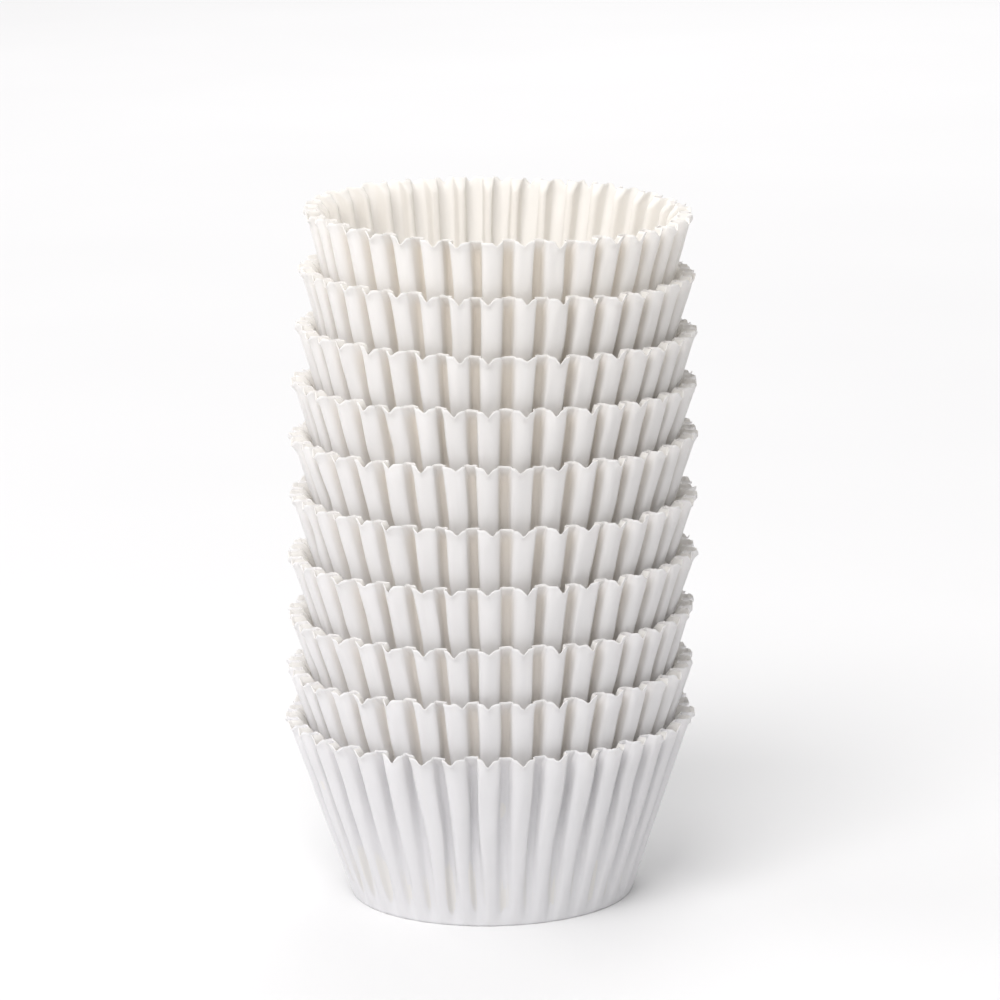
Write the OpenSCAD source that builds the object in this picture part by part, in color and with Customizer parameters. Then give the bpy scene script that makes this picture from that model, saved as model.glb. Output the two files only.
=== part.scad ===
// Stack of fluted paper cupcake liners, nested upright.
// Each liner is one sheet: a flat round base and a wall pleated into flutes that deepen
// from nothing at the base to full depth at the neck, with a flared band along the rim.
// Sizes are in millimetres. The origin is the centre of the stack's underside, and -Y is the front.

/* [Liner] */
// Diameter of the flat base of one liner
base_d = 50; // [46:0.5:53]
// Diameter over the crests at the rim of the bottom liner
rim_d = 71.8; // [69:0.2:76]
// Height of one liner at the crests of its rim
liner_h = 32; // [28:0.5:38]
// Thickness of the paper
paper_t = 0.12; // [0.08:0.01:0.2]

/* [Flutes] */
// Number of flutes around one liner
flute_count = 38; // [30:1:42]
// Depth of a flute at the neck, just under the rim band
flute_depth = 2.6; // [2:0.1:3]
// Share of the pitch that a crest takes
crest_share = 0.54; // [0.4:0.02:0.6]
// Share of the pitch that a fold takes
fold_share = 0.16; // [0.12:0.02:0.2]

/* [Rim] */
// Height of the flared band along the rim
lip_h = 1.6; // [0.8:0.1:3]
// How far the edge stands out beyond the line of the wall
lip_flare = 0.35; // [0:0.05:0.8]
// Depth of a flute along the edge, as a share of its depth at the neck
edge_depth_share = 0.95; // [0.5:0.05:1]
// How much higher the edge stands at the folds than at the crests
edge_rise = 1.2; // [0:0.1:2]

/* [Stack] */
// Number of liners in the stack
liner_count = 10; // [2:1:12]
// Gap between a liner's crests and the folds of the liner below, across the wall
nest_gap = 0.55; // [0.5:0.05:0.8]
// How much narrower the top rim is, as nothing inside holds it open
top_narrowing = 5; // [0:0.2:6]
// Sideways step of each liner against the liner below
drift = 0.28; // [0:0.02:0.4]
// How unevenly the liners sit and are pleated: 0 is perfectly even
unevenness = 1; // [0:0.1:1]

/* [Hidden] */

// Uneven seating of the liners, from the bottom one up
// How much higher or lower than its even place each liner sits
lift = [0, -1, -1, -0.8, 0, 0.5, -0.2, -0.7, -0.6, 0];
// Lean of each liner towards the right, in degrees
lean = [0, 0, -0.4, 0.2, 1, 0.3, 1, 1.8, 2, 1.6];
// Tip of each liner towards the front, in degrees
tip = [0, -1.1, -0.2, -0.9, 0, -0.5, -1, -0.5, 0, 1.8];
// Turn of each liner about its axis, in degrees
turn = [4.3, 4.3, 4.2, 4.2, 3.6, 3.1, 3, 3, 3, 2.9];
// How much wider or narrower than its even width each rim is
spread = [0, -0.4, -0.7, -0.1, -0.4, 0, 0, 0, 0, 0];

// Unevenness of the flutes, as shares of the pitch and of the depth
// Shift of a flute that all liners share, pleated in one press
shared_shift = 0.04;
// Shift of a flute that one liner has on its own
own_shift = 0.015;
// Variation of the width of a crest
width_variation = 0.05;
// Variation of the depth of a flute
depth_variation = 0.05;
// Variation of the height of the edge, in millimetres
edge_variation = 0.2;

// Corners of one flute in a ring: both ends of its crest, then of its fold
flute_corners = 4;

base_r = base_d / 2;
rim_r = rim_d / 2;
neck_h = liner_h - lip_h;
// Outward slope of an even wall
wall_slope = slope(rim_r);
// Step between neighbours, at which a crest just clears the folds of the liner below
nest_rise = (flute_depth + paper_t + nest_gap) / wall_slope;
// Height above its own base at which a liner meets the neck of the liner below
seat_h = neck_h - nest_rise;
pitch = 360 / flute_count;
paper_colour = [0.96, 0.95, 0.93];

// Value for liner i from a list that starts again when the stack is taller
function pick(values, i) = unevenness * values[i % len(values)];

// Rim radius of liner i over its crests
function rim_radius(i) =
    rim_r + (pick(spread, i) - top_narrowing * pow(i / (liner_count - 1), 3)) / 2;

// Outward slope of a wall that leads to this rim radius
function slope(edge_r) = (edge_r - lip_flare - base_r) / liner_h;

// Random values between -1 and 1, one for each flute, the same each time for one seed
function noise(seed) = unevenness * rands(-1, 1, flute_count, seed);

// Angle of the middle of each crest of liner i, in pitches
function crest_places(i) =
    let (shared = noise(1), own = noise(100 + i))
    [for (k = [0 : flute_count - 1]) k + shared_shift * shared[k] + own_shift * own[k]];

// Angles of the corners around liner i, in degrees
function corner_angles(i) =
    let (places = crest_places(i), widths = noise(200 + i))
    [for (k = [0 : flute_count - 1])
        let (
            crest = places[k],
            next = k == flute_count - 1 ? places[0] + flute_count : places[k + 1],
            fold = (crest + next) / 2,
            half_crest = crest_share / 2 * (1 + width_variation * widths[k])
        )
        each pitch * [
            crest - half_crest,
            crest + half_crest,
            fold - fold_share / 2,
            fold + fold_share / 2
        ]];

// How deep each corner of liner i lies: 0 on a crest, about 1 in a fold
function corner_depths(i) =
    let (depths = noise(300 + i))
    [for (k = [0 : flute_count - 1])
        let (fold = 1 + depth_variation * depths[k])
        each [0, 0, fold, fold]];

// Height of the edge of liner i at each corner, above the height of an even crest
function edge_heights(i) =
    let (heights = noise(400 + i))
    [for (k = [0 : flute_count - 1])
        let (shift = edge_variation * heights[k])
        each [shift, shift, edge_rise + shift, edge_rise + shift]];

// Ring of flat points at crest radius r, with flutes of the given depth
function ring(angles, depths, r, depth) =
    [for (j = [0 : len(angles) - 1])
        (r - depth * depths[j]) * [cos(angles[j]), sin(angles[j])]];

// Unit vector across a side that runs along v, towards the inside of the ring
function across(v) = [-v[1], v[0]] / norm(v);

// The same ring moved inwards by the thickness of the paper
function inset(points) =
    let (n = len(points))
    [for (j = [0 : n - 1])
        let (
            before = across(points[j] - points[(j + n - 1) % n]),
            after = across(points[(j + 1) % n] - points[j])
        )
        points[j] + paper_t * (before + after) / (1 + before * after)];

// A ring of flat points raised to height z, and by its own amount at each corner
function raised(points, z, heights) =
    [for (j = [0 : len(points) - 1])
        [points[j][0], points[j][1], z + (heights == undef ? 0 : heights[j])]];

// Two triangles between each pair of neighbouring points of two rings, in a closed row of rings
// whose first half lies on the outside. The side that the two triangles share runs the same way on
// both faces of the paper, from a fold below to a crest above, so the faces stay one thickness apart.
function band_faces(n, rings) =
    [for (row = [0 : rings - 1], j = [0 : n - 1])
        let (
            here = row * n,
            there = (row + 1) % rings * n,
            next = (j + 1) % n,
            outside = row < rings / 2 - 1,
            leaves_crest = j % flute_corners == 1
        )
        each outside == leaves_crest
            ? [[here + j, there + j, here + next], [there + j, there + next, here + next]]
            : [[here + j, there + j, there + next], [here + j, there + next, here + next]]];

// The pleated wall of liner i, from the foot up the outside, over the edge and down the inside
module pleated_wall(i) {
    angles = corner_angles(i);
    depths = corner_depths(i);
    heights = edge_heights(i);
    foot = ring(angles, depths, base_r, 0);
    edge_r = rim_radius(i);
    neck = ring(angles, depths, base_r + slope(edge_r) * neck_h, flute_depth);
    edge = ring(angles, depths, edge_r, flute_depth * edge_depth_share);
    rings = [
        raised(foot, 0),
        raised(neck, neck_h),
        raised(edge, liner_h, heights),
        raised(inset(edge), liner_h, heights),
        raised(inset(neck), neck_h),
        raised(inset(foot), 0)
    ];
    polyhedron(
        points = [for (points = rings) each points],
        faces = band_faces(len(angles), len(rings)),
        convexity = 10
    );
}

// The flat round base, whose rim lies inside the paper of the wall
module base_disc() {
    cylinder(h = paper_t, r = base_r - paper_t / 2, $fn = flute_corners * flute_count);
}

// Liner i in its place, leaning about the ring where it meets the liner below
module liner(i) {
    seat_z = seat_h + i * nest_rise + pick(lift, i);
    color(paper_colour)
        translate([i * drift, 0, seat_z])
            rotate([pick(tip, i), pick(lean, i), pick(turn, i)])
                translate([0, 0, -seat_h])
                    union() {
                        pleated_wall(i);
                        base_disc();
                    }
}

for (i = [0 : liner_count - 1])
    liner(i);
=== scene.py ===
# %% [markdown]
# A stack of pleated paper cupcake liners.
#
# A cupcake liner is cut as a flat disc of thin greaseproof paper and pressed between two fluted
# dies. The middle stays flat as the base, and the rest is thrown into flutes that start from
# nothing at the base and deepen towards the rim. Ten of them stand nested here, pulled a little
# apart. The lesson measures each plain solid of the packed part, folds a finer sheet in exactly
# the same place, and gives that sheet a paper finish made of nodes.

# %% Load the frame
import math

import bmesh
import bpy
import numpy as np
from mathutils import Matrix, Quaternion, Vector


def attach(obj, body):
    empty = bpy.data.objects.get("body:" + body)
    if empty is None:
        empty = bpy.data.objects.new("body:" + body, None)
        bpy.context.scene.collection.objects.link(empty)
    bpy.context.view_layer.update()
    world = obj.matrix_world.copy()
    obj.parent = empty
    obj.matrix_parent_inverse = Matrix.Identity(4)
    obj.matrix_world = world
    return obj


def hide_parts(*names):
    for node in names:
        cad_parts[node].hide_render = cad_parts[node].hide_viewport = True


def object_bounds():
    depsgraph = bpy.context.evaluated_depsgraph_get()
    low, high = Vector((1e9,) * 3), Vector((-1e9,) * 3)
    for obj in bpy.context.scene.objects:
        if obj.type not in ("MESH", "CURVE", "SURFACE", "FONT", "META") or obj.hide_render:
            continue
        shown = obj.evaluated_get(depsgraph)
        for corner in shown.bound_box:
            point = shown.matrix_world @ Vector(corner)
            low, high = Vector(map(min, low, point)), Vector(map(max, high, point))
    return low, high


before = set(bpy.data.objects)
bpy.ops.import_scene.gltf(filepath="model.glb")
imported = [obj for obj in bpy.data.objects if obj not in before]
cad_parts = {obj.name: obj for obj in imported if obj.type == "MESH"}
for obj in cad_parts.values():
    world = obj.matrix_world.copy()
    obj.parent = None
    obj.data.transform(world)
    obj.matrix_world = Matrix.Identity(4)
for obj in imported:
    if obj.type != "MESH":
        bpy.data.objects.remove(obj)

MM = 0.001  # one millimetre, as Blender works in metres
FULL_TURN = 2 * math.pi
cad_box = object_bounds()
liner_names = sorted(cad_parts)
print("liners from the bottom up:", liner_names)

# %% [markdown]
# Measuring a folded sheet.
#
# The solids already lean, tip and turn as the real liners do, so nothing about their place is
# typed in again. Three facts give a liner's own axes: its base is flat, its base is round, and
# its axis stands square to the base. A plane through the lowest points gives the axis, and a
# circle through the outermost of them gives the centre.

# %% Find a liner's own axes
BASE_REACH = 3.5 * MM  # a tilted base lies within this height of the liner's lowest point
RIM_REACH = 0.05 * MM  # corners this near the widest reach lie on the rim of the base


def solid_points(name):
    """The corners of one solid, in metres, each kept once."""
    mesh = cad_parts[name].data
    flat = np.empty(len(mesh.vertices) * 3)
    mesh.vertices.foreach_get("co", flat)
    return np.unique(np.round(flat.reshape(-1, 3), 8), axis=0)


def circle_centre(points):
    """The centre of the circle that fits flat points best."""
    sides = np.column_stack([2 * points, np.ones(len(points))])
    return np.linalg.lstsq(sides, (points**2).sum(1), rcond=None)[0][:2]


def own_axes(points):
    """The middle of the underside of a liner, and its right, back and up directions."""
    low = points[points[:, 2] < points[:, 2].min() + BASE_REACH]
    up = np.linalg.svd(low - low.mean(0))[2][2]
    up *= np.sign(up[2])
    right = np.cross([0, 1, 0], up)
    right /= np.linalg.norm(right)
    axes = np.stack([right, np.cross(up, right), up])
    flat = (low - low.mean(0)) @ axes.T
    reach = np.linalg.norm(flat[:, :2], axis=1)
    outermost = flat[reach > reach.max() - RIM_REACH]
    middle = np.append(circle_centre(outermost[:, :2]), flat[:, 2].min())
    return low.mean(0) + middle @ axes, axes


top_axes = own_axes(solid_points(liner_names[-1]))[1]
print("the top liner's axis points", top_axes[2].round(3))

# %% [markdown]
# Reading the flutes.
#
# Seen along its axis, a liner's neck is a ring of corners: two at the ends of each crest and two
# at the ends of each fold. The crest corners all lie on one circle, the folds lie deeper by the
# depth of the flute. Sorting the crest corners by angle and asking whether a fold lies between
# two neighbours tells which two belong to one crest.

# %% Angles round a liner
def next_round(angles):
    """Each angle's neighbour further round: the last one's is the first, a full turn on."""
    return np.append(angles[1:], angles[0] + FULL_TURN)


def turn_from(middle, angle):
    """How far round from the middle each angle lies, at most half a turn either way."""
    return (angle - middle + math.pi) % FULL_TURN - math.pi


small_turn = math.degrees(turn_from(math.radians(350), math.radians(10)))
print("from 350 to 10 degrees is a turn of", round(small_turn), "degrees")

# %% Read the flutes of one solid
RING_REACH = 0.02 * MM  # corners within this height of each other lie in one ring
LEAST_LIP = 0.5 * MM  # the edge lies at least this far above the neck
CREST_SCATTER = 0.03 * MM  # the crest corners of the neck lie this near its widest reach
LEAST_FOLD = 1.5 * MM  # and its fold corners at least this far inside it
CREST_REACH = 0.36  # share of the pitch within which both ends of a crest lie
FOLD_REACH = 0.14  # share of the pitch within which both ends of a fold lie
DEPTH_REACH = 0.25  # share of the pitch within which a fold's depth is read


class Liner:
    """What one solid says about its sheet: place, sizes and every flute."""

    def __init__(self, name):
        self.name = name
        self.index = liner_names.index(name)
        points = solid_points(name)
        self.foot, self.axes = own_axes(points)
        own = (points - self.foot) @ self.axes.T
        height, reach = own[:, 2], np.linalg.norm(own[:, :2], axis=1)
        angle = np.arctan2(own[:, 1], own[:, 0])
        levels, counts = np.unique(np.round(height, 6), return_counts=True)
        upper = levels > height.max() / 2
        self.neck_z = levels[upper][counts[upper].argmax()]
        neck = np.abs(height - self.neck_z) < RING_REACH
        edge = height > self.neck_z + LEAST_LIP
        self.base_r = reach[height < RING_REACH].max()
        self.neck_r = reach[neck].max()
        self.edge_r = reach[edge].max()
        self.slope = (self.neck_r - self.base_r) / self.neck_z
        self.read_crests(angle[neck], reach[neck])
        self.edge_crest_z = self.edge_heights(angle[edge], height[edge], self.crests, CREST_REACH)
        self.edge_fold_z = self.edge_heights(angle[edge], height[edge], self.folds, FOLD_REACH)

    def read_crests(self, angle, reach):
        """The middle and half width of each crest, and the middle and depth of each fold."""
        starts = np.sort(angle[reach > self.neck_r - CREST_SCATTER])
        ends = next_round(starts)
        deep = reach < self.neck_r - LEAST_FOLD
        folds = np.sort(angle[deep])
        wrapped = np.concatenate([folds, folds + FULL_TURN])
        holds_fold = np.searchsorted(wrapped, ends) > np.searchsorted(wrapped, starts)
        self.crests = ((starts + ends) / 2)[~holds_fold]
        self.crest_half = ((ends - starts) / 2)[~holds_fold]
        self.count = len(self.crests)
        self.folds = (self.crests + next_round(self.crests)) / 2
        self.pitch = FULL_TURN / self.count
        self.fold_depth = np.array([
            self.neck_r - reach[deep][self.beside(fold, angle[deep], DEPTH_REACH)].max()
            for fold in self.folds
        ])

    def beside(self, middle, angle, share):
        """Which angles lie within this share of the pitch from the middle."""
        return np.abs(turn_from(middle, angle)) < share * self.pitch

    def edge_heights(self, angle, height, middles, share):
        """The height of the edge within a share of the pitch of each of the given angles."""
        return np.array([height[self.beside(middle, angle, share)].mean() for middle in middles])


liners = [Liner(name) for name in liner_names]
for liner in liners:
    print(
        liner.name, liner.count, "flutes, neck", round(liner.neck_r / MM, 2), "mm, depth",
        round(liner.fold_depth.mean() / MM, 2), "mm, edge", round(liner.edge_r / MM, 2), "mm at",
        round(liner.edge_crest_z.mean() / MM, 2), "mm",
    )

# %% [markdown]
# The cross-section of a flute.
#
# Real pleats have no sharp corners: the crest is a wide, slightly domed face, the sides fall
# steeply, and the fold is a narrow rounded trough. One flute could be a sine wave, but a sine
# has crest and fold alike. Here a share q runs from 0 at the middle of a crest to 1 at the
# middle of the fold, two marks on it say where the crest ends and the fold starts, and a smooth
# step between them gives the depth.

# %% Cross-section of a flute
HALF_STEPS = 10  # points from the middle of a crest to the middle of a fold
FLUTE_STEPS = 2 * HALF_STEPS
CREST_END = 0.4  # where on q the crest ends
FOLD_START = 0.84  # where on q the fold starts
ROUNDING = 0.08  # how far on q each bend reaches into the flat beside it
DOME_SINK = 0.4  # share of its dome by which a crest is sunk, so that the rim keeps its width

down_steps = np.arange(HALF_STEPS) / HALF_STEPS
q_shares = np.concatenate([down_steps, 1 - down_steps])  # to the fold, and on to the next crest
rising = np.repeat([False, True], HALF_STEPS)  # the second half climbs to the next crest


def smooth_step(share):
    """0 below 0, 1 above 1, and a smooth rise between."""
    share = np.clip(share, 0, 1)
    return share * share * (3 - 2 * share)


depth_shares = smooth_step(
    (q_shares - CREST_END + ROUNDING) / (FOLD_START - CREST_END + 2 * ROUNDING)
)
dome_shares = np.clip(1 - (q_shares / CREST_END) ** 2, 0, 1) - DOME_SINK
tilt_shares = np.clip(np.where(rising, -q_shares, q_shares) / CREST_END, -1, 1)
tilt_shares = tilt_shares * (1 - depth_shares)
print("points round one liner:", FLUTE_STEPS * liners[0].count)

# %% [markdown]
# Unevenness.
#
# Pressed paper is never quite regular: flutes wander sideways, crests tilt, lips curl more or
# less, and a thumb leaves a shallow dent. Each liner draws its own random numbers from a seeded
# generator, so the result is the same on every run. Everything fades out where a liner sits
# inside its neighbour, so that the sheets don't cut through each other.

# %% Random numbers for one liner
FIRST_SEED = 40
CREST_DOME = 0.5 * MM  # how far the middle of a crest stands proud of its sides
DOME_SPREAD = 0.3  # usual change of the dome from crest to crest, as a share of it
CREST_TILT = 0.1 * MM  # usual tilt of a crest, out on one side and in on the other
CURL_SPREAD = 0.22  # usual change of the curl of the lip, as a share of it
FLUTE_WANDER = 0.14 * MM  # usual sideways wander of a flute
NOTCH_SPREAD = 0.07  # usual shift of a notch off the middle of its crest, as a share of the pitch
NOTCH_SIZES = 0.3, 1.6  # least and greatest depth of a notch, as shares of the even depth
EDGE_NICK = 0.05 * MM  # usual roughness of the cut edge
WALL_RIPPLE = 0.07 * MM  # usual height of the waves of the wall
WAVES = 14
WAVE_TURNS = 3, 90  # least and greatest number of waves round the liner
WAVE_RATES = 60, 420  # the same up the wall, in radians per metre
DENTS = 7
DENT_DEPTH = 0.35 * MM
DENT_PLACES = 0.72, 0.97  # lowest and highest middle of a dent, as shares of the wall
DENT_SIZES = 0.4, 1
DENT_TURN = 0.09  # half width of a dent, in radians round the liner
DENT_RISE = 0.1  # half height of a dent, as a share of the wall


class Unevenness:
    """The random part of one liner's shape, all from one seed."""

    def __init__(self, liner):
        draw = np.random.default_rng(FIRST_SEED + liner.index)
        count = liner.count
        self.tilt = draw.normal(0, CREST_TILT, count)
        self.extra_curl = draw.normal(0, CURL_SPREAD, count)
        self.dome = CREST_DOME * (1 + draw.normal(0, DOME_SPREAD, count))
        self.wander_size = draw.normal(0, FLUTE_WANDER, count)
        self.wander_turn = draw.uniform(0, FULL_TURN, count)
        self.notch_shift = draw.normal(0, NOTCH_SPREAD, count)
        self.notch_size = draw.uniform(*NOTCH_SIZES, count)
        self.edge_nick = draw.normal(0, EDGE_NICK, count * FLUTE_STEPS)
        self.waves = [
            (draw.integers(*WAVE_TURNS), draw.uniform(0, FULL_TURN),
             draw.uniform(*WAVE_RATES), draw.uniform(0, FULL_TURN))
            for _ in range(WAVES)
        ]
        self.dents = [
            (draw.uniform(-math.pi, math.pi), draw.uniform(*DENT_PLACES),
             draw.uniform(*DENT_SIZES))
            for _ in range(DENTS)
        ]

    def ripple(self, angles, z):
        """Slow random waves all over the wall."""
        total = sum(
            np.sin(turns * angles + start) * np.sin(rate * z + phase)
            for turns, start, rate, phase in self.waves
        )
        return WALL_RIPPLE * total / math.sqrt(WAVES / 4)  # the usual size of the sum

    def dent(self, angles, height_share):
        """Shallow dents, each as wide as a flute or two."""
        total = 0 * angles
        for middle, place, size in self.dents:
            round_off = turn_from(middle, angles) / DENT_TURN
            up_off = (height_share - place) / DENT_RISE
            total = total + size * np.exp(-(round_off**2) - up_off**2)
        return DENT_DEPTH * total


largest_curl = np.abs(Unevenness(liners[0]).extra_curl).max()
print("the bottom liner's lip curls up to", round(100 * largest_curl), "% more or less")

# %% [markdown]
# Folding the wall.
#
# The wall is a grid: columns run round the liner, rows climb from the base to the edge. Under
# the neck the radius grows in step with the height and the folds deepen a little sooner, while
# each crest widens from a narrow ridge at the foot. Above it the lip turns outwards, the crests
# widen a little and the folds come forward, so each dark fold ends in a lighter band just under
# the edge. The edge itself is level over the folds and has a small notch near the middle of each
# crest, because the paper there has travelled furthest outwards.

# %% Columns of one row
CREST_FULLNESS = 1.15  # how much wider a soft crest is than the flat one of the solid
FOOT_CREST_SHARE = 0.5  # width of a crest at the foot, as a share of its width at the neck
FULL_CREST_AT = 0.85  # share of the wall at which a crest has its full width
EDGE_CREST_SHARE = 1.05  # width of a crest along the edge, as a share of its width at the neck
FOLD_HALF_SHARE = 0.11  # half width of a fold, as a share of the pitch
FOLD_OPENING = 0.7  # how much wider a fold is along the edge, as a share of its width
WANDER_WAVES = 1.1  # waves that a wandering flute makes up the wall


def row_angles(crest_middles, crest_half, fold_half):
    """The angle of every column of a row whose crests have these middles and half widths."""
    after = next_round(crest_middles)
    half_after = np.roll(crest_half, -1)
    to_fold = (after - crest_middles) / 2
    columns = []
    for q, climbs in zip(q_shares, rising):
        crest = half_after if climbs else crest_half
        if q < CREST_END:
            offset = crest * q / CREST_END
        elif q < FOLD_START:
            share = (q - CREST_END) / (FOLD_START - CREST_END)
            offset = crest + (to_fold - fold_half - crest) * share
        else:
            offset = to_fold - fold_half + fold_half * (q - FOLD_START) / (1 - FOLD_START)
        columns.append(after - offset if climbs else crest_middles + offset)
    return np.stack(columns, 1).ravel()


def row_columns(liner, uneven, fade, z_share, lip_share):
    """The middle of every crest of a row, and the angle of every column."""
    wander = np.sin(FULL_TURN * WANDER_WAVES * z_share + uneven.wander_turn)
    middles = liner.crests + fade * uneven.wander_size * wander / liner.neck_r
    opening = smooth_step(lip_share)
    width = FOOT_CREST_SHARE + (1 - FOOT_CREST_SHARE) * smooth_step(z_share / FULL_CREST_AT)
    width = width * (1 + (EDGE_CREST_SHARE - 1) * opening)
    crest_half = liner.crest_half * CREST_FULLNESS * width
    fold_half = FOLD_HALF_SHARE * liner.pitch * (1 + FOLD_OPENING * opening)
    return middles, row_angles(middles, crest_half, fold_half)


def by_column(values, next_values):
    """Values of the flutes spread over their columns: the second half takes the next one's."""
    return np.where(rising, next_values[:, None], values[:, None]).ravel()


def of_crests(values):
    """Values of the crests spread over the columns beside each of them."""
    return by_column(values, np.roll(values, -1))


columns = row_angles(liners[0].crests, liners[0].crest_half, FOLD_HALF_SHARE * liners[0].pitch)
print("columns lie", round(math.degrees(np.diff(columns).min()), 3), "degrees apart or more")

# %% Reach and height of one row
FOLD_RISE = 0.75  # how soon the folds deepen up the wall: 1 is in step with the height
EDGE_FOLD_SHARE = 0.66  # flute depth along the edge, as a share of the depth at the neck
BASE_BEND = 0.3 * MM  # radius of the bend between base and wall
NOTCH_HALF = 0.2  # half width of a notch, as a share of the pitch
EDGE_DIP = 0.4 * MM  # how far an even notch dips under the edge of the solid
EDGE_SETTLE = 0.55 * MM  # how far the top of a fold lies under the edge of the solid


def crest_reach(liner, uneven, fade, z, lip_share):
    """How far out the crests of a row lie, up the wall and out along the lip."""
    lip_reach = liner.edge_r - liner.neck_r
    lip_h = liner.edge_crest_z.mean() - liner.neck_z
    start = liner.slope * lip_h / lip_reach  # the lip leaves the wall without a kink
    curve = start * lip_share + (1 - start) * lip_share**2
    curl = 1 + fade * of_crests(uneven.extra_curl)
    return liner.base_r + liner.slope * z + lip_reach * curve * curl


def flute_relief(liner, uneven, fade, angles, z_share, lip_share):
    """How far each column of a row stands out from the reach of the crests."""
    dome = of_crests(uneven.dome) * np.tile(dome_shares, liner.count)
    tilt = of_crests(uneven.tilt) * np.tile(tilt_shares, liner.count)
    ripple = uneven.ripple(angles, liner.neck_z * z_share)
    soft = dome + fade * (tilt + ripple - uneven.dent(angles, z_share))
    shallowing = 1 - (1 - EDGE_FOLD_SHARE) * smooth_step(lip_share)
    depth = shallowing * z_share**FOLD_RISE * np.repeat(liner.fold_depth, FLUTE_STEPS)
    return z_share * soft - depth * np.tile(depth_shares, liner.count)


def edge_line(liner, uneven, fade, middles, angles):
    """The height of the edge at every column: a notch in each crest, level over each fold."""
    notches = middles + uneven.notch_shift * liner.pitch
    from_notch = np.abs(angles - by_column(notches, next_round(notches)))
    level = smooth_step(from_notch / (NOTCH_HALF * liner.pitch))
    notch_z = of_crests(liner.edge_crest_z - EDGE_DIP * uneven.notch_size)
    level_z = np.repeat(liner.edge_fold_z - EDGE_SETTLE, FLUTE_STEPS)
    return notch_z * (1 - level) + level_z * level + fade * uneven.edge_nick


def wall_row(liner, uneven, free, z_share, lip_share):
    """Points of one row, up the wall by z_share and then up the lip by lip_share."""
    z = liner.neck_z * z_share
    fade = free(z)
    middles, angles = row_columns(liner, uneven, fade, z_share, lip_share)
    radius = crest_reach(liner, uneven, fade, z, lip_share)
    radius = radius + flute_relief(liner, uneven, fade, angles, z_share, lip_share)
    radius = radius - BASE_BEND / 2 * np.clip(1 - z / BASE_BEND, 0, 1) ** 2
    height = z + (edge_line(liner, uneven, fade, middles, angles) - liner.neck_z) * lip_share
    return np.stack([radius * np.cos(angles), radius * np.sin(angles), height], 1)


edge_z = wall_row(liners[0], Unevenness(liners[0]), lambda z: 1.0, 1.0, 1.0)[:, 2] / MM
print("the bottom liner's edge is", edge_z.min().round(1), "to", edge_z.max().round(1), "mm high")

# %% [markdown]
# Choosing the rows.
#
# Rows cost triangles, so they crowd where the eye can go. Only the bottom liner shows its whole
# outside and only the top one its whole inside. The rest of the sheets show the band above the
# rim of the liner below.

# %% Rows for each side of a sheet
LIP_SHARES = 0.12, 0.26, 0.42, 0.6, 0.8, 1.0
FOOT_SHARES = 0.0, 0.005, 0.012  # close together, for the bend between base and wall
WALL_START, WALL_ROWS = 0.02, 30  # of a side that shows whole
BAND_FOOT_SHARES = 0.0, 0.01  # of a side that shows only a band, as are the next three
HIDDEN_START, HIDDEN_ROWS, BAND_ROWS = 0.25, 3, 15
FEW_WALL_SHARES = 0.0, 0.01, 0.5, 0.85, 0.92, 1.0  # of a side that is hidden almost to its edge
FEW_LIP_SHARES = 0.42, 1.0


def sheet_rows(wall_shares, lip_shares):
    """Pairs of wall share and lip share, up the wall and on up the lip."""
    return [(share, 0.0) for share in wall_shares] + [(1.0, share) for share in lip_shares]


def band_rows(shows_from):
    """The rows of a side that shows from this share of the wall up."""
    hidden = np.linspace(HIDDEN_START, shows_from, HIDDEN_ROWS)[:-1]
    band = np.linspace(shows_from, 1, BAND_ROWS)
    return sheet_rows([*BAND_FOOT_SHARES, *hidden, *band], LIP_SHARES)


whole_rows = sheet_rows([*FOOT_SHARES, *np.linspace(WALL_START, 1, WALL_ROWS)], LIP_SHARES)
few_rows = sheet_rows(FEW_WALL_SHARES, FEW_LIP_SHARES)
print(len(whole_rows), "rows where all shows,", len(few_rows), "where next to nothing does")

# %% [markdown]
# Stitching the sheet.
#
# Outside wall, edge, inside wall and the two faces of the base form one closed skin, as thick as
# the solid's paper. A closed skin is what light needs to pass through and what an export needs
# to stay sound. The base carries the first millimetres of the pleats as faint radial ripples.

# %% The two faces of the base
BASE_RINGS = 0.985, 0.955, 0.91, 0.85, 0.76, 0.6, 0.4, 0.2  # shares of the radius, where it shows
FEW_BASE_RINGS = 0.91, 0.2
BASE_RIPPLE = 0.07 * MM
RIPPLE_START, RIPPLE_SPAN = 0.8, 0.19  # shares of the radius over which the ripples grow


def base_face(liner, rim_points, z, shares):
    """The rings of one face of the base, from its rim inwards, rippled near the rim."""
    angle = np.arctan2(rim_points[:, 1], rim_points[:, 0])
    waves = (1 + np.cos(liner.count * (angle - liner.crests[0]))) / 2
    rings = []
    for share in shares:
        ring = rim_points * [share, share, 0]
        growth = smooth_step((share - RIPPLE_START) / RIPPLE_SPAN)
        ring[:, 2] = z + BASE_RIPPLE * growth * waves
        rings.append(ring)
    return rings


ripple_reach = liners[0].base_r * (1 - RIPPLE_START) / MM
print("the ripples of the base fade out within", round(ripple_reach, 1), "mm of its rim")

# %% Faces through the rings
def stitch(rings, middles):
    """Points and faces of a row of rings, closed at both ends by a fan to a middle point."""
    size = len(rings[0])
    numbers = np.arange(len(rings) * size).reshape(len(rings), size)
    turned = np.roll(numbers, -1, 1)
    quads = np.stack([numbers[:-1], turned[:-1], turned[1:], numbers[1:]], 2).reshape(-1, 4)
    first_middle = numbers.size
    fans = [
        np.stack([turned[0], numbers[0], np.full(size, first_middle)], 1),
        np.stack([numbers[-1], turned[-1], np.full(size, first_middle + 1)], 1),
    ]
    return np.concatenate(rings + [np.array(middles)]), quads, np.concatenate(fans)


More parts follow.
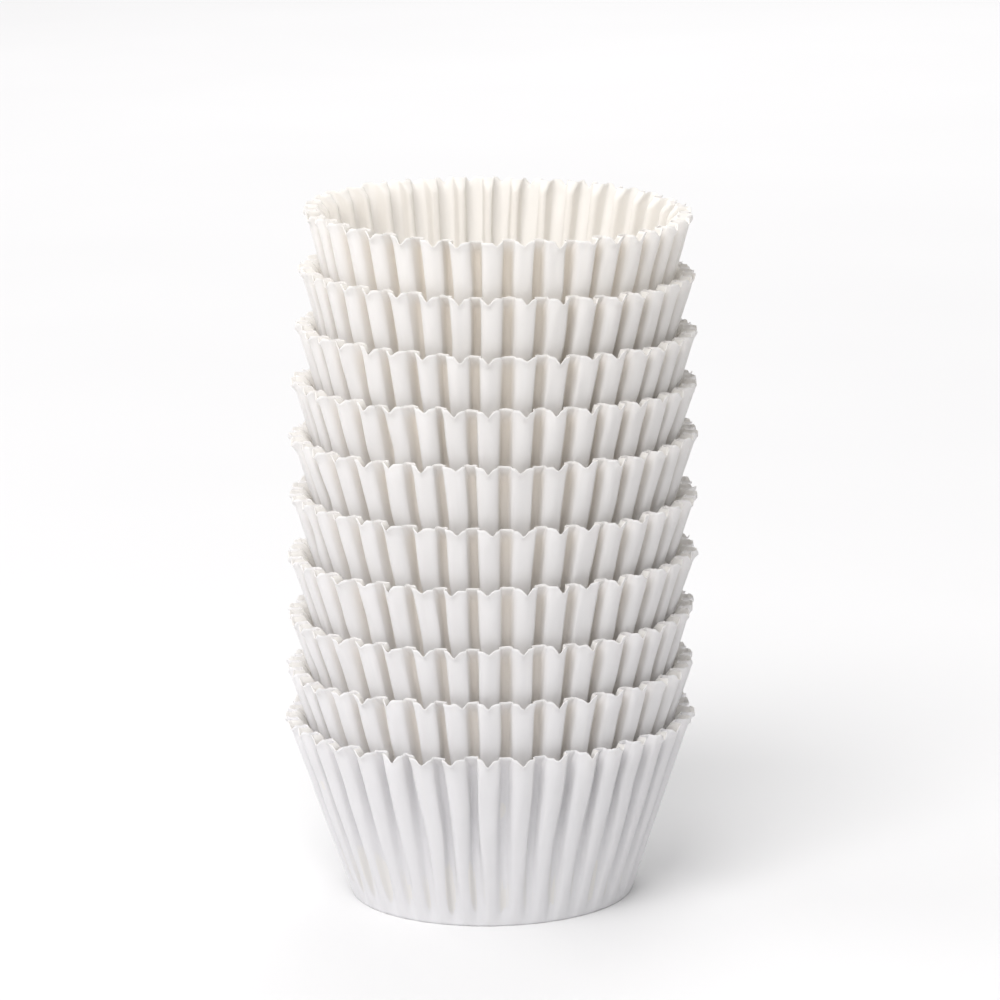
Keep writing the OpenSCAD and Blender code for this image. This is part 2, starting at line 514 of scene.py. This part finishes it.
def outward_normals(grid):
    """Unit normals of a closed grid, pointing away from the axis."""
    along = np.roll(grid, -1, 1) - np.roll(grid, 1, 1)
    up = np.gradient(grid, axis=0)
    normals = np.cross(along, up)
    return normals / np.linalg.norm(normals, axis=2, keepdims=True)


square = [np.array([[1, 1, z], [-1, 1, z], [-1, -1, z], [1, -1, z]]) for z in (0, 1)]
print("a box of two rings has", len(stitch(square, [[0, 0, 0], [0, 0, 1]])[1]), "quads")

# %% Fold one sheet
PAPER_T = 0.12 * MM  # thickness of the paper, as in the solid
FREE_SPAN = 0.12  # unevenness fades in over this share of the height above the seat
LEAST_SHOWN = 0.3  # a band starts no lower than this share of the wall
SHOWN_MARGIN = 0.08  # and this share of the wall below the seat


def wall_grid(liner, uneven, free, rows):
    """The grid of one side of the wall: rows by columns by three coordinates."""
    return np.stack([wall_row(liner, uneven, free, share, lip) for share, lip in rows])


def fold_sheet(liner, outside_shows, inside_shows, seat_z):
    """The points and faces of one liner's sheet, and which points lie on its inside."""
    uneven = Unevenness(liner)
    fade_span = FREE_SPAN * liner.edge_crest_z.mean()

    def free(z):
        """0 inside the liner below, rising to 1 on the band that stands free."""
        return smooth_step((z - seat_z) / fade_span) if seat_z > 0 else 1.0

    shows_from = max(LEAST_SHOWN, seat_z / liner.neck_z - SHOWN_MARGIN)
    outer_rows = whole_rows if outside_shows else band_rows(shows_from)
    outer = wall_grid(liner, uneven, free, outer_rows)
    inner = wall_grid(liner, uneven, free, whole_rows if inside_shows else few_rows)
    inner = inner - PAPER_T * outward_normals(inner)
    inner[0, :, 2] = PAPER_T
    under = base_face(liner, outer[0], 0.0, BASE_RINGS if outside_shows else FEW_BASE_RINGS)
    floor = base_face(liner, inner[0], PAPER_T, BASE_RINGS if inside_shows else FEW_BASE_RINGS)
    rings = under[::-1] + list(outer) + list(inner[::-1]) + floor
    points, quads, fans = stitch(rings, [[0, 0, 0], [0, 0, PAPER_T]])
    sides = [0.0] * (len(under) + len(outer)) + [1.0] * (len(inner) + len(floor))
    inside = np.append(np.repeat(sides, len(outer[0])), [0.0, 1.0])
    return points, quads, fans, inside


# %% [markdown]
# From numbers to a mesh.
#
# Blender takes the whole grid at once. Each point also stores four facts that the paper finish
# reads later: where it lies on the sheet, how deep it is in a fold, how near the edge it is, and
# whether it is on the inside face.

# %% Make the mesh
PLACE_STEP = 0.05  # how much further up the pattern of the paper each liner starts, in metres
TOP_PLACE = PLACE_STEP * len(liners)
WALL_FROM, WALL_BLEND = 0.9, 0.08  # shares of the base's radius where its pattern meets the wall's
EDGE_BELOW, EDGE_SPAN = 0.6 * MM, 2.4 * MM  # the edge starts this far under the neck, and its span


def facts_of(liner, points):
    """Place on the sheet, depth in the fold and nearness to the edge, for each point."""
    flat, height = points[:, :2], points[:, 2]
    reach = np.linalg.norm(flat, axis=1)
    cone = liner.base_r + liner.slope * height
    around = flat / np.maximum(reach, 1e-6)[:, None] * liner.neck_r
    on_wall = smooth_step((reach / liner.base_r - WALL_FROM) / WALL_BLEND)
    blend = on_wall[:, None]
    place = np.column_stack([around * blend + flat * (1 - blend), height])
    place[:, 2] += liner.index * PLACE_STEP
    depth = np.clip((cone - reach) / liner.fold_depth.mean(), 0, 1) * on_wall
    edge = smooth_step((height - liner.neck_z + EDGE_BELOW) / EDGE_SPAN)
    return place, depth, edge


def make_liner(liner, outside_shows, inside_shows, seat_z):
    """A mesh object for one liner, in place of its solid."""
    points, quads, fans, inside = fold_sheet(liner, outside_shows, inside_shows, seat_z)
    place, depth, edge = facts_of(liner, points)
    world = liner.foot + points @ liner.axes
    mesh = bpy.data.meshes.new("sheet_" + liner.name)
    mesh.from_pydata(world.tolist(), [], quads.tolist() + fans.tolist())
    stored = mesh.attributes.new("place", "FLOAT_VECTOR", "POINT")
    stored.data.foreach_set("vector", place.ravel())
    for fact, values in (("depth", depth), ("edge", edge), ("inside", inside)):
        mesh.attributes.new(fact, "FLOAT", "POINT").data.foreach_set("value", values)
    mesh.shade_smooth()
    mesh.validate()
    piece = bpy.data.objects.new("paper_" + liner.name, mesh)
    bpy.context.scene.collection.objects.link(piece)
    return piece


# %% Fold every liner
sheets = []
for liner, below in zip(liners, [None] + liners[:-1]):
    seat_z = 0.0
    if below is not None:
        rim_below = below.foot + below.neck_z * below.axes[2]
        seat_z = (rim_below - liner.foot) @ liner.axes[2]
    sheet = make_liner(liner, below is None, liner is liners[-1], seat_z)
    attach(sheet, "root")
    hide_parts(liner.name)
    sheets.append(sheet)
    print(sheet.name, "seat", round(seat_z / MM, 1), "mm,", len(sheet.data.polygons), "faces")

# %% [markdown]
# Shader maths.
#
# A finish is a small network of nodes. Written node by node it is hard to read, so a class
# wraps a socket and lets plain arithmetic add the Math nodes, and one method makes any other
# node from its type, its settings and what its sockets are given.

# %% Sockets that can be added and multiplied
class Socket:
    """An output socket of a finish that takes part in arithmetic."""

    def __init__(self, finish, socket):
        self.finish, self.socket = finish, socket

    def maths(self, operation, first, second):
        return self.finish.node("ShaderNodeMath", {"operation": operation}, {0: first, 1: second})

    def __add__(self, other):
        return self.maths("ADD", self, other)

    def __sub__(self, other):
        return self.maths("SUBTRACT", self, other)

    def __rsub__(self, other):
        return self.maths("SUBTRACT", other, self)

    def __mul__(self, other):
        return self.maths("MULTIPLY", self, other)

    __radd__ = __add__
    __rmul__ = __mul__


operators = [name for name in vars(Socket) if name.endswith(("add__", "sub__", "mul__"))]
print("a socket takes part in", operators)

# %% A finish that adds its own nodes
class Finish:
    """A material, and the one method that adds any node to it."""

    def __init__(self, name):
        self.material = bpy.data.materials.new(name)
        self.material.use_nodes = True
        self.tree = self.material.node_tree
        self.tree.nodes.clear()

    def node(self, kind, settings=None, sockets=None, output=0):
        made = self.tree.nodes.new(kind)
        for setting, value in (settings or {}).items():
            setattr(made, setting, value)
        for socket, value in (sockets or {}).items():
            if isinstance(value, Socket):
                self.tree.links.new(value.socket, made.inputs[socket])
            else:
                made.inputs[socket].default_value = value
        return Socket(self, made.outputs[output]) if made.outputs else made

    def stored(self, fact, output=2):
        """What each point of a mesh stores under this name: a number, or a vector at output 1."""
        return self.node("ShaderNodeAttribute", {"attribute_name": fact}, output=output)

    def mix_colours(self, share, first, second):
        """Two colours mixed, which a Math node can't do without losing their hue."""
        settings = {"data_type": "RGBA"}
        return self.node("ShaderNodeMix", settings, {0: share, 6: first, 7: second}, output=2)

    def noise(self, place, scale, detail=3, roughness=0.55):
        """Soft random values about 0.5, over places given in metres."""
        sockets = {"Vector": place, "Scale": scale, "Detail": detail, "Roughness": roughness}
        return self.node("ShaderNodeTexNoise", {}, sockets)

    def stretched(self, place, factors):
        """The same places with each direction scaled by its own factor."""
        return self.node("ShaderNodeVectorMath", {"operation": "MULTIPLY"}, {0: place, 1: factors})

    def steps(self, value, low, high):
        """0 under low, 1 over high, smooth between."""
        settings = {"interpolation_type": "SMOOTHSTEP"}
        sockets = {"Value": value, "From Min": low, "From Max": high}
        return self.node("ShaderNodeMapRange", settings, sockets)


# %% [markdown]
# Greaseproof paper.
#
# The paper is nearly white and thin enough to glow a little with the light behind it. Close up
# it has a cloudy, fibrous surface, fine lines that run up the flutes where the die dragged the
# sheet, and a cut edge that is rougher and paler. Light that bounces several times between the
# walls of a fold turns warmer with each bounce. Three colours here are painted light. The white
# is painted a little cool in the bottom liner and a little warm in the top one, for the warm
# light that comes through the upper sheets. A painted warm shade lies in the folds, stronger in
# the upper liners. The inside face is painted paler and creamier, to lift the shade in the cup.

# %% Colours and grain of the paper
# painted light: all liners are one paper; the change from cool low down to warm high up stands in
# for light coming through the upper sheets
PAINTED_COOL_SHEET = (0.85, 0.85, 0.875, 1), (0.905, 0.905, 0.93, 1)  # the bottom liner's two whites
PAINTED_WARM_SHEET = (0.865, 0.85, 0.835, 1), (0.92, 0.905, 0.89, 1)  # the top liner's
WORN_SHEET = (0.92, 0.915, 0.92, 1)
# painted shade: the warm, darker colour laid into the folds
PAINTED_FOLD_SHADE = (0.87, 0.80, 0.70, 1)
# painted light: the paler, creamier colour of the inside face lifts the shade in the cup
INSIDE_PAINTED_LIGHT = (0.955, 0.93, 0.875, 1)
LIGHT_THROUGH = (0.93, 0.91, 0.88, 1)
THROUGH_SHARE = 0.3  # share of the light that comes through the sheet
CLOUD_SCALE, FIBRE_SCALE, DRAG_SCALE = 260, 2600, 900  # spots or lines per metre
FIBRE_STRETCH, DRAG_STRETCH = (1, 1, 0.35), (1, 1, 0.04)  # drawn out up the wall
WORN_FROM, WORN_TO = 0.55, 0.75  # values of the drag lines between which the sheet is worn
NESTED_FROM, NESTED_TO = 0.06, 0.12  # shares of the stack over which the painted fold shade sets in
RELIEF = 0.05 * MM
# how much redder than blue the painted fold shade is
print("the cream of a fold is", round(PAINTED_FOLD_SHADE[0] / PAINTED_FOLD_SHADE[2], 2), "times as red as blue")

# %% Paper finish
def paper_finish():
    paper = Finish("white_greaseproof_paper")
    place = paper.stored("place", output=1)
    depth, edge, inside = [paper.stored(fact) for fact in ("depth", "edge", "inside")]
    tier = paper.node("ShaderNodeSeparateXYZ", {}, {0: place}, output=2) * (1 / TOP_PLACE)

    clouds = paper.noise(place, CLOUD_SCALE, detail=4)
    fibres = paper.noise(
        paper.stretched(place, FIBRE_STRETCH), FIBRE_SCALE, detail=5, roughness=0.7
    )
    drag_lines = paper.noise(paper.stretched(place, DRAG_STRETCH), DRAG_SCALE)

    mottle = clouds * 0.6 + fibres * 0.4  # coarse and fine flecks
    painted_cool_sheet = paper.mix_colours(mottle, *PAINTED_COOL_SHEET)
    painted_warm_sheet = paper.mix_colours(mottle, *PAINTED_WARM_SHEET)
    worn = paper.steps(drag_lines + edge * 0.1, WORN_FROM, WORN_TO) * 0.5
    nested = paper.steps(tier, NESTED_FROM, NESTED_TO)
    # painted warm shade in the folds: least in the bottom liner, on the inside face and along the
    # edge
    painted_shade = depth * nested * (tier * 0.3 + 0.55) * (1 - inside * 0.8) * (1 - edge * 0.7)
    # painted light: cool white low in the stack, warm white high up
    colour = paper.mix_colours(tier, painted_cool_sheet, painted_warm_sheet)
    colour = paper.mix_colours(worn, colour, WORN_SHEET)
    colour = paper.mix_colours(painted_shade, colour, PAINTED_FOLD_SHADE)
    # painted light: the inside face is painted paler and creamier
    colour = paper.mix_colours(inside * 0.6, colour, INSIDE_PAINTED_LIGHT)

    relief = fibres * 0.5 + drag_lines * 0.9 + clouds * 0.4  # the drag lines stand out most
    sockets = {"Height": relief, "Strength": 0.35, "Distance": RELIEF}
    bump = paper.node("ShaderNodeBump", {}, sockets)
    roughness = 0.62 + fibres * 0.2 - worn * 0.1
    surface = paper.node(
        "ShaderNodeBsdfPrincipled", {},
        {"Base Color": colour, "Roughness": roughness, "Normal": bump, "IOR": 1.45,
         "Specular IOR Level": 0.3, "Sheen Weight": 0.08, "Sheen Roughness": 0.5},
    )
    sockets = {"Color": LIGHT_THROUGH, "Normal": bump}
    glow = paper.node("ShaderNodeBsdfTranslucent", {}, sockets)
    thin = paper.node("ShaderNodeMixShader", {}, {0: THROUGH_SHARE, 1: surface, 2: glow})
    paper.node("ShaderNodeOutputMaterial", {}, {"Surface": thin})
    return paper.material


paper = paper_finish()
for sheet in sheets:
    sheet.data.materials.append(paper)
print("paper finish with", len(paper.node_tree.nodes), "nodes")

# %% [markdown]
# A place to stand.
#
# The stack stands on a wide pale table in an even white room, so that the white paper is told
# from the white ground only by its own shading.

# %% Floor
FLOOR_HALF = 8.0  # half the width of the table, in metres
FLOOR_DROP = 0.02 * MM  # the table lies this far under the stack
FLOOR_GREYS = (0.72, 0.72, 0.72, 1), (0.75, 0.75, 0.75, 1)
HAZE_SCALE = 6


def floor_finish():
    table = Finish("pale_table")
    place = table.node("ShaderNodeTexCoord", output=3)
    colour = table.mix_colours(table.noise(place, HAZE_SCALE, detail=2), *FLOOR_GREYS)
    matt = table.node("ShaderNodeBsdfPrincipled", {}, {"Base Color": colour, "Roughness": 0.9})
    table.node("ShaderNodeOutputMaterial", {}, {"Surface": matt})
    return table.material


floor_mesh = bpy.data.meshes.new("table")
builder = bmesh.new()
bmesh.ops.create_grid(builder, x_segments=1, y_segments=1, size=FLOOR_HALF)
builder.to_mesh(floor_mesh)
builder.free()
floor = bpy.data.objects.new("table", floor_mesh)
floor.location.z = cad_box[0][2] - FLOOR_DROP
floor_mesh.materials.append(floor_finish())
bpy.context.scene.collection.objects.link(floor)
print("table", 2 * FLOOR_HALF, "m wide")

# %% [markdown]
# Light.
#
# A bright white room lights the stack from all round, which keeps the folds pale. A broad panel
# high in front, a little to the left, gives every crest a bright left side and every fold a
# shaded one. A second panel, well off to the left, lightens the flutes that turn away there. It
# stands so far out that the ground behind it, which it leaves darker, stays out of the side
# view. A third lights the ground behind the stack. The powers were found by rendering each lamp
# alone: light adds up, so the picture for any mix of powers is a sum of those pictures.

# %% Lamps and room
WHITE = (1.0, 0.99, 0.995)
ROOM_WHITE = (1.0, 0.995, 1.0, 1)
ROOM_STRENGTH = 0.61
stack_middle = Vector((0, 0, 0.06))


def round_stack(left, up, distance):
    """A place so many degrees left of the front and above the level, seen from the stack."""
    left, up = math.radians(left), math.radians(up)
    flat = math.cos(up)
    away = Vector((-math.sin(left) * flat, -math.cos(left) * flat, math.sin(up)))
    return stack_middle + distance * away


def area_lamp(name, place, target, size, power):
    """A square soft lamp that faces the target."""
    lamp = bpy.data.lights.new(name, "AREA")
    lamp.size, lamp.energy, lamp.color = size, power, WHITE
    holder = bpy.data.objects.new(name, lamp)
    holder.location = place
    holder.rotation_euler = (target - place).to_track_quat("-Z", "Y").to_euler()
    bpy.context.scene.collection.objects.link(holder)


# name, place, target, width in metres and power in watts
area_lamp("high_panel", round_stack(20, 50, 1.4), stack_middle, 0.8, 15.4)
area_lamp("side_panel", round_stack(100, 15, 1.7), stack_middle, 1.84, 13.25)
area_lamp("ground_panel", Vector((0.2, 1.5, 1.3)), Vector((0, 1.3, 0)), 1.2, 13.0)

room = bpy.data.worlds.new("white_room")
room.use_nodes = True
room.node_tree.nodes["Background"].inputs["Color"].default_value = ROOM_WHITE
room.node_tree.nodes["Background"].inputs["Strength"].default_value = ROOM_STRENGTH
bpy.context.scene.world = room
bpy.context.scene.view_settings.view_transform = "Standard"

# %% [markdown]
# The camera.
#
# The view looks down on the stack from a little above. With the lens this long, the rims low in
# the stack show rounder than the ones near the top.

# %% Camera
VIEW_DISTANCE = 0.8  # metres
VIEW_ELEVATION = math.radians(12.44)
VIEW_ROLL = math.radians(-0.89)
LENS_MM, SENSOR_MM = 163.8, 36
NEAREST = 0.01  # metres from the camera at which things start to show
swing_centre = Vector((0, 0, 0.062))
aim = Vector((0.0024, 0, 0.0702))

camera_data = bpy.data.cameras.new("camera")
camera_data.lens, camera_data.sensor_width = LENS_MM, SENSOR_MM
camera_data.clip_start = NEAREST
camera = bpy.data.objects.new("camera", camera_data)
away = Vector((0, -math.cos(VIEW_ELEVATION), math.sin(VIEW_ELEVATION)))
camera.location = swing_centre + VIEW_DISTANCE * away
towards = (aim - camera.location).to_track_quat("-Z", "Y")
camera.rotation_mode = "QUATERNION"
camera.rotation_quaternion = towards @ Quaternion((0, 0, 1), VIEW_ROLL)
bpy.context.scene.collection.objects.link(camera)
bpy.context.scene.camera = camera
print("camera at", [round(value, 3) for value in camera.location])

# %% [markdown]
